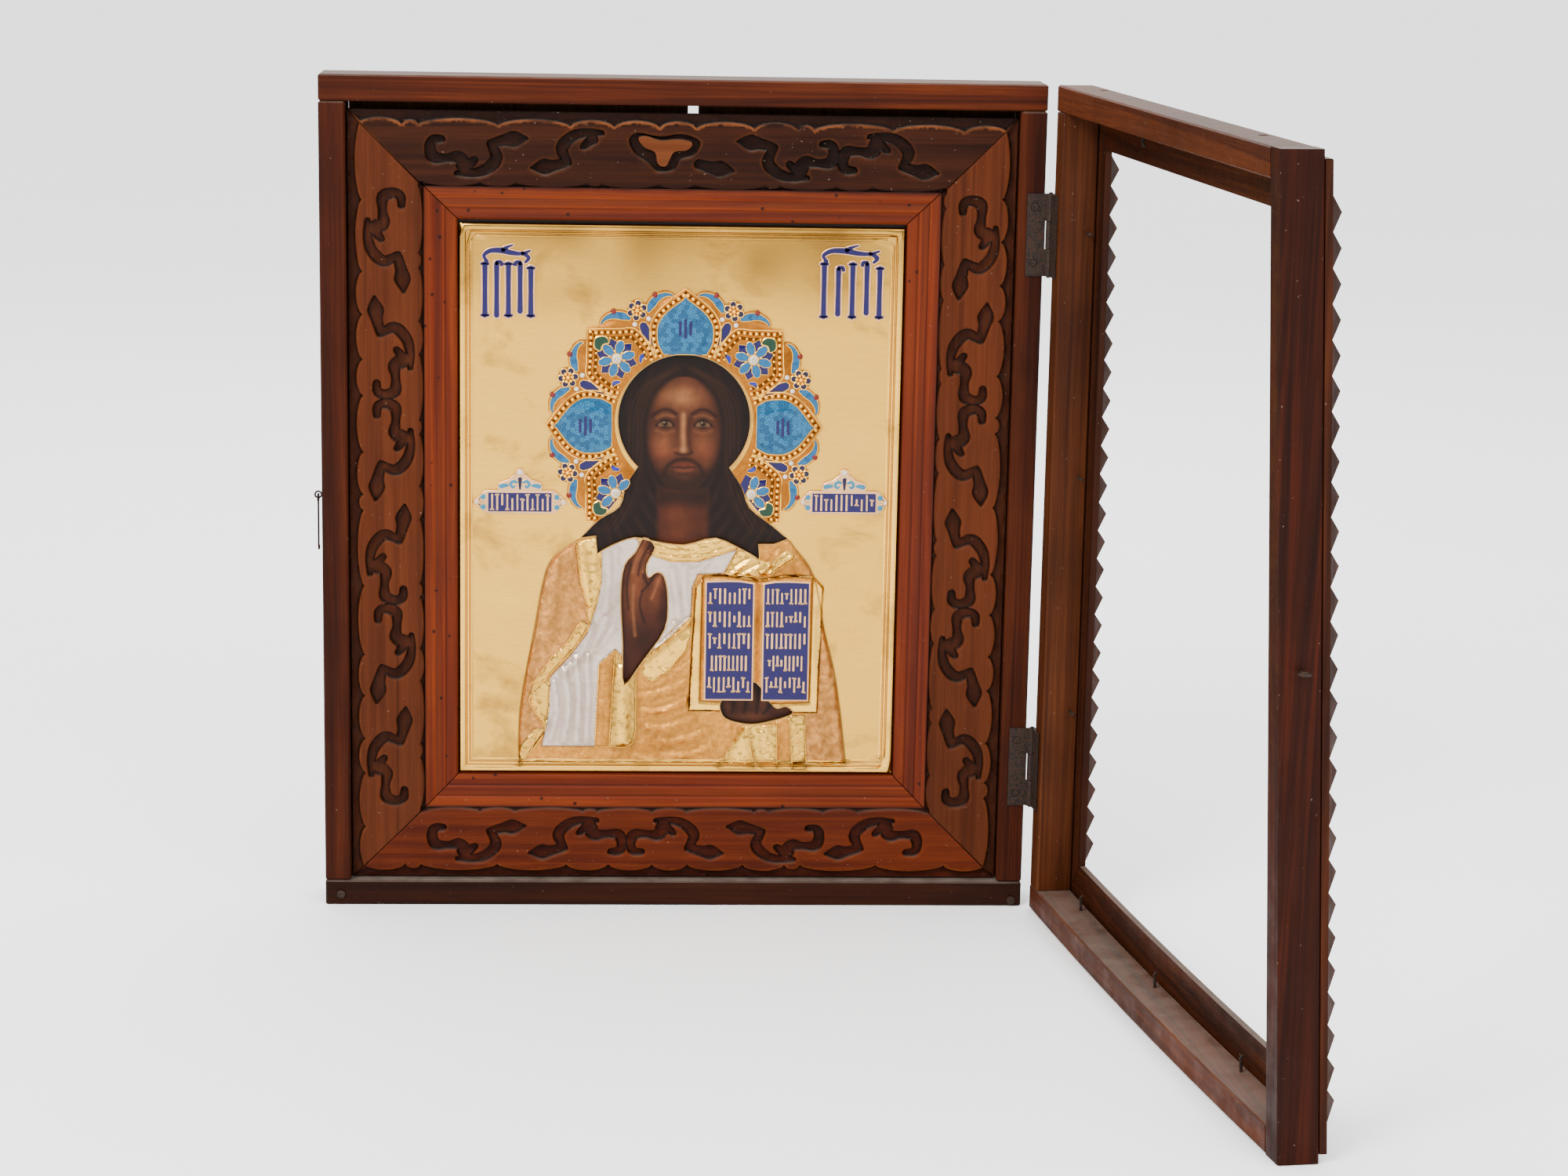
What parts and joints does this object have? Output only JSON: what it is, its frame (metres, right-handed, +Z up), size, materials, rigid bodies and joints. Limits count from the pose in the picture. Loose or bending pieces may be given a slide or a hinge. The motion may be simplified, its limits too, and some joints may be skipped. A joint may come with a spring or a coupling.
{
  "type": "icon with riza in a carved case",
  "caption": "Painted icon under a gilt relief cover with an enamelled halo, in a shallow carved wooden case whose toothed door frame stands open on two hinges.",
  "frame": {"origin": "centre of the underside of the case's bottom board", "axes": "+Z up, -Y out of the case's front, +X towards the hinge side"},
  "size_m": [0.5179, 0.4517, 0.4839],
  "materials": {
    "case_wood": "worn dark stain",
    "carved_wood": "worn dark stain, rubbed on the high parts",
    "sight_wood": "varnished resinous pine",
    "door_wood": "worn dark stain with dust",
    "old_pine": "bare old pine",
    "painted_panel": "oil painting under dark varnish",
    "gilt_silver": "gilt silver sheet, satin field and polished rim",
    "pale_gilt": "pale gilt plate",
    "blue_enamel": "filigree enamel in gilt cells",
    "violet_enamel": "dark blue-violet enamel with gilt edges",
    "iron": "dark rusted iron"
  },
  "bodies": {
    "case": {"case_board_top": "case_wood", "case_board_bottom": "case_wood", "case_board_left": "case_wood", "case_board_right": "case_wood", "back_board": "old_pine", "carved_board_top": "carved_wood", "carved_board_bottom": "carved_wood", "carved_board_left": "carved_wood", "carved_board_right": "carved_wood", "sight_moulding_top": "sight_wood", "sight_moulding_bottom": "sight_wood", "sight_moulding_left": "sight_wood", "sight_moulding_right": "sight_wood", "icon_panel": "painted_panel", "riza_cover": "gilt_silver", "book_plate_left": "pale_gilt", "book_plate_right": "pale_gilt", "halo": "blue_enamel", "monogram_left": "violet_enamel", "monogram_right": "violet_enamel", "name_plate_left": "blue_enamel", "name_plate_right": "blue_enamel", "hinge_leaf_case_lower": "iron", "hinge_leaf_case_upper": "iron", "hinge_pin_lower": "iron", "hinge_pin_upper": "iron", "hinge_screw_case_lower_low": "iron", "hinge_screw_case_lower_high": "iron", "hinge_screw_case_upper_low": "iron", "hinge_screw_case_upper_high": "iron", "latch_staple": "iron", "corner_nail_left": "iron", "corner_nail_right": "iron"},
    "door": {"door_rail_top": "door_wood", "door_rail_bottom": "door_wood", "door_stile_hinge": "door_wood", "door_stile_latch": "door_wood", "door_strip_top": "door_wood", "door_strip_bottom": "door_wood", "door_strip_hinge": "door_wood", "door_strip_latch": "door_wood", "hinge_leaf_door_lower": "iron", "hinge_leaf_door_upper": "iron", "hinge_screw_door_lower_low": "iron", "hinge_screw_door_lower_high": "iron", "hinge_screw_door_upper_low": "iron", "hinge_screw_door_upper_high": "iron", "glazing_nail_bottom_inner": "iron", "glazing_nail_bottom_middle": "iron", "glazing_nail_bottom_outer": "iron", "glazing_nail_top": "iron", "glazing_nail_hinge_lower": "iron", "glazing_nail_hinge_middle": "iron", "glazing_nail_hinge_upper": "iron", "latch_eye": "iron"},
    "hook": {"latch_hook": "iron"}
  },
  "joints": [
    {"name": "door_hinge", "type": "hinge", "parent": "case", "child": "door", "pos_m": [0.2082, -0.0182, 0.2425], "axis": [0, 0, 1], "range_deg": [-96.5, 80]},
    {"name": "hook_pivot", "type": "hinge", "parent": "case", "child": "hook", "pos_m": [-0.2079, -0.005, 0.24085], "axis": [1, 0, 0], "range_deg": [-90, 25]}
  ]
}
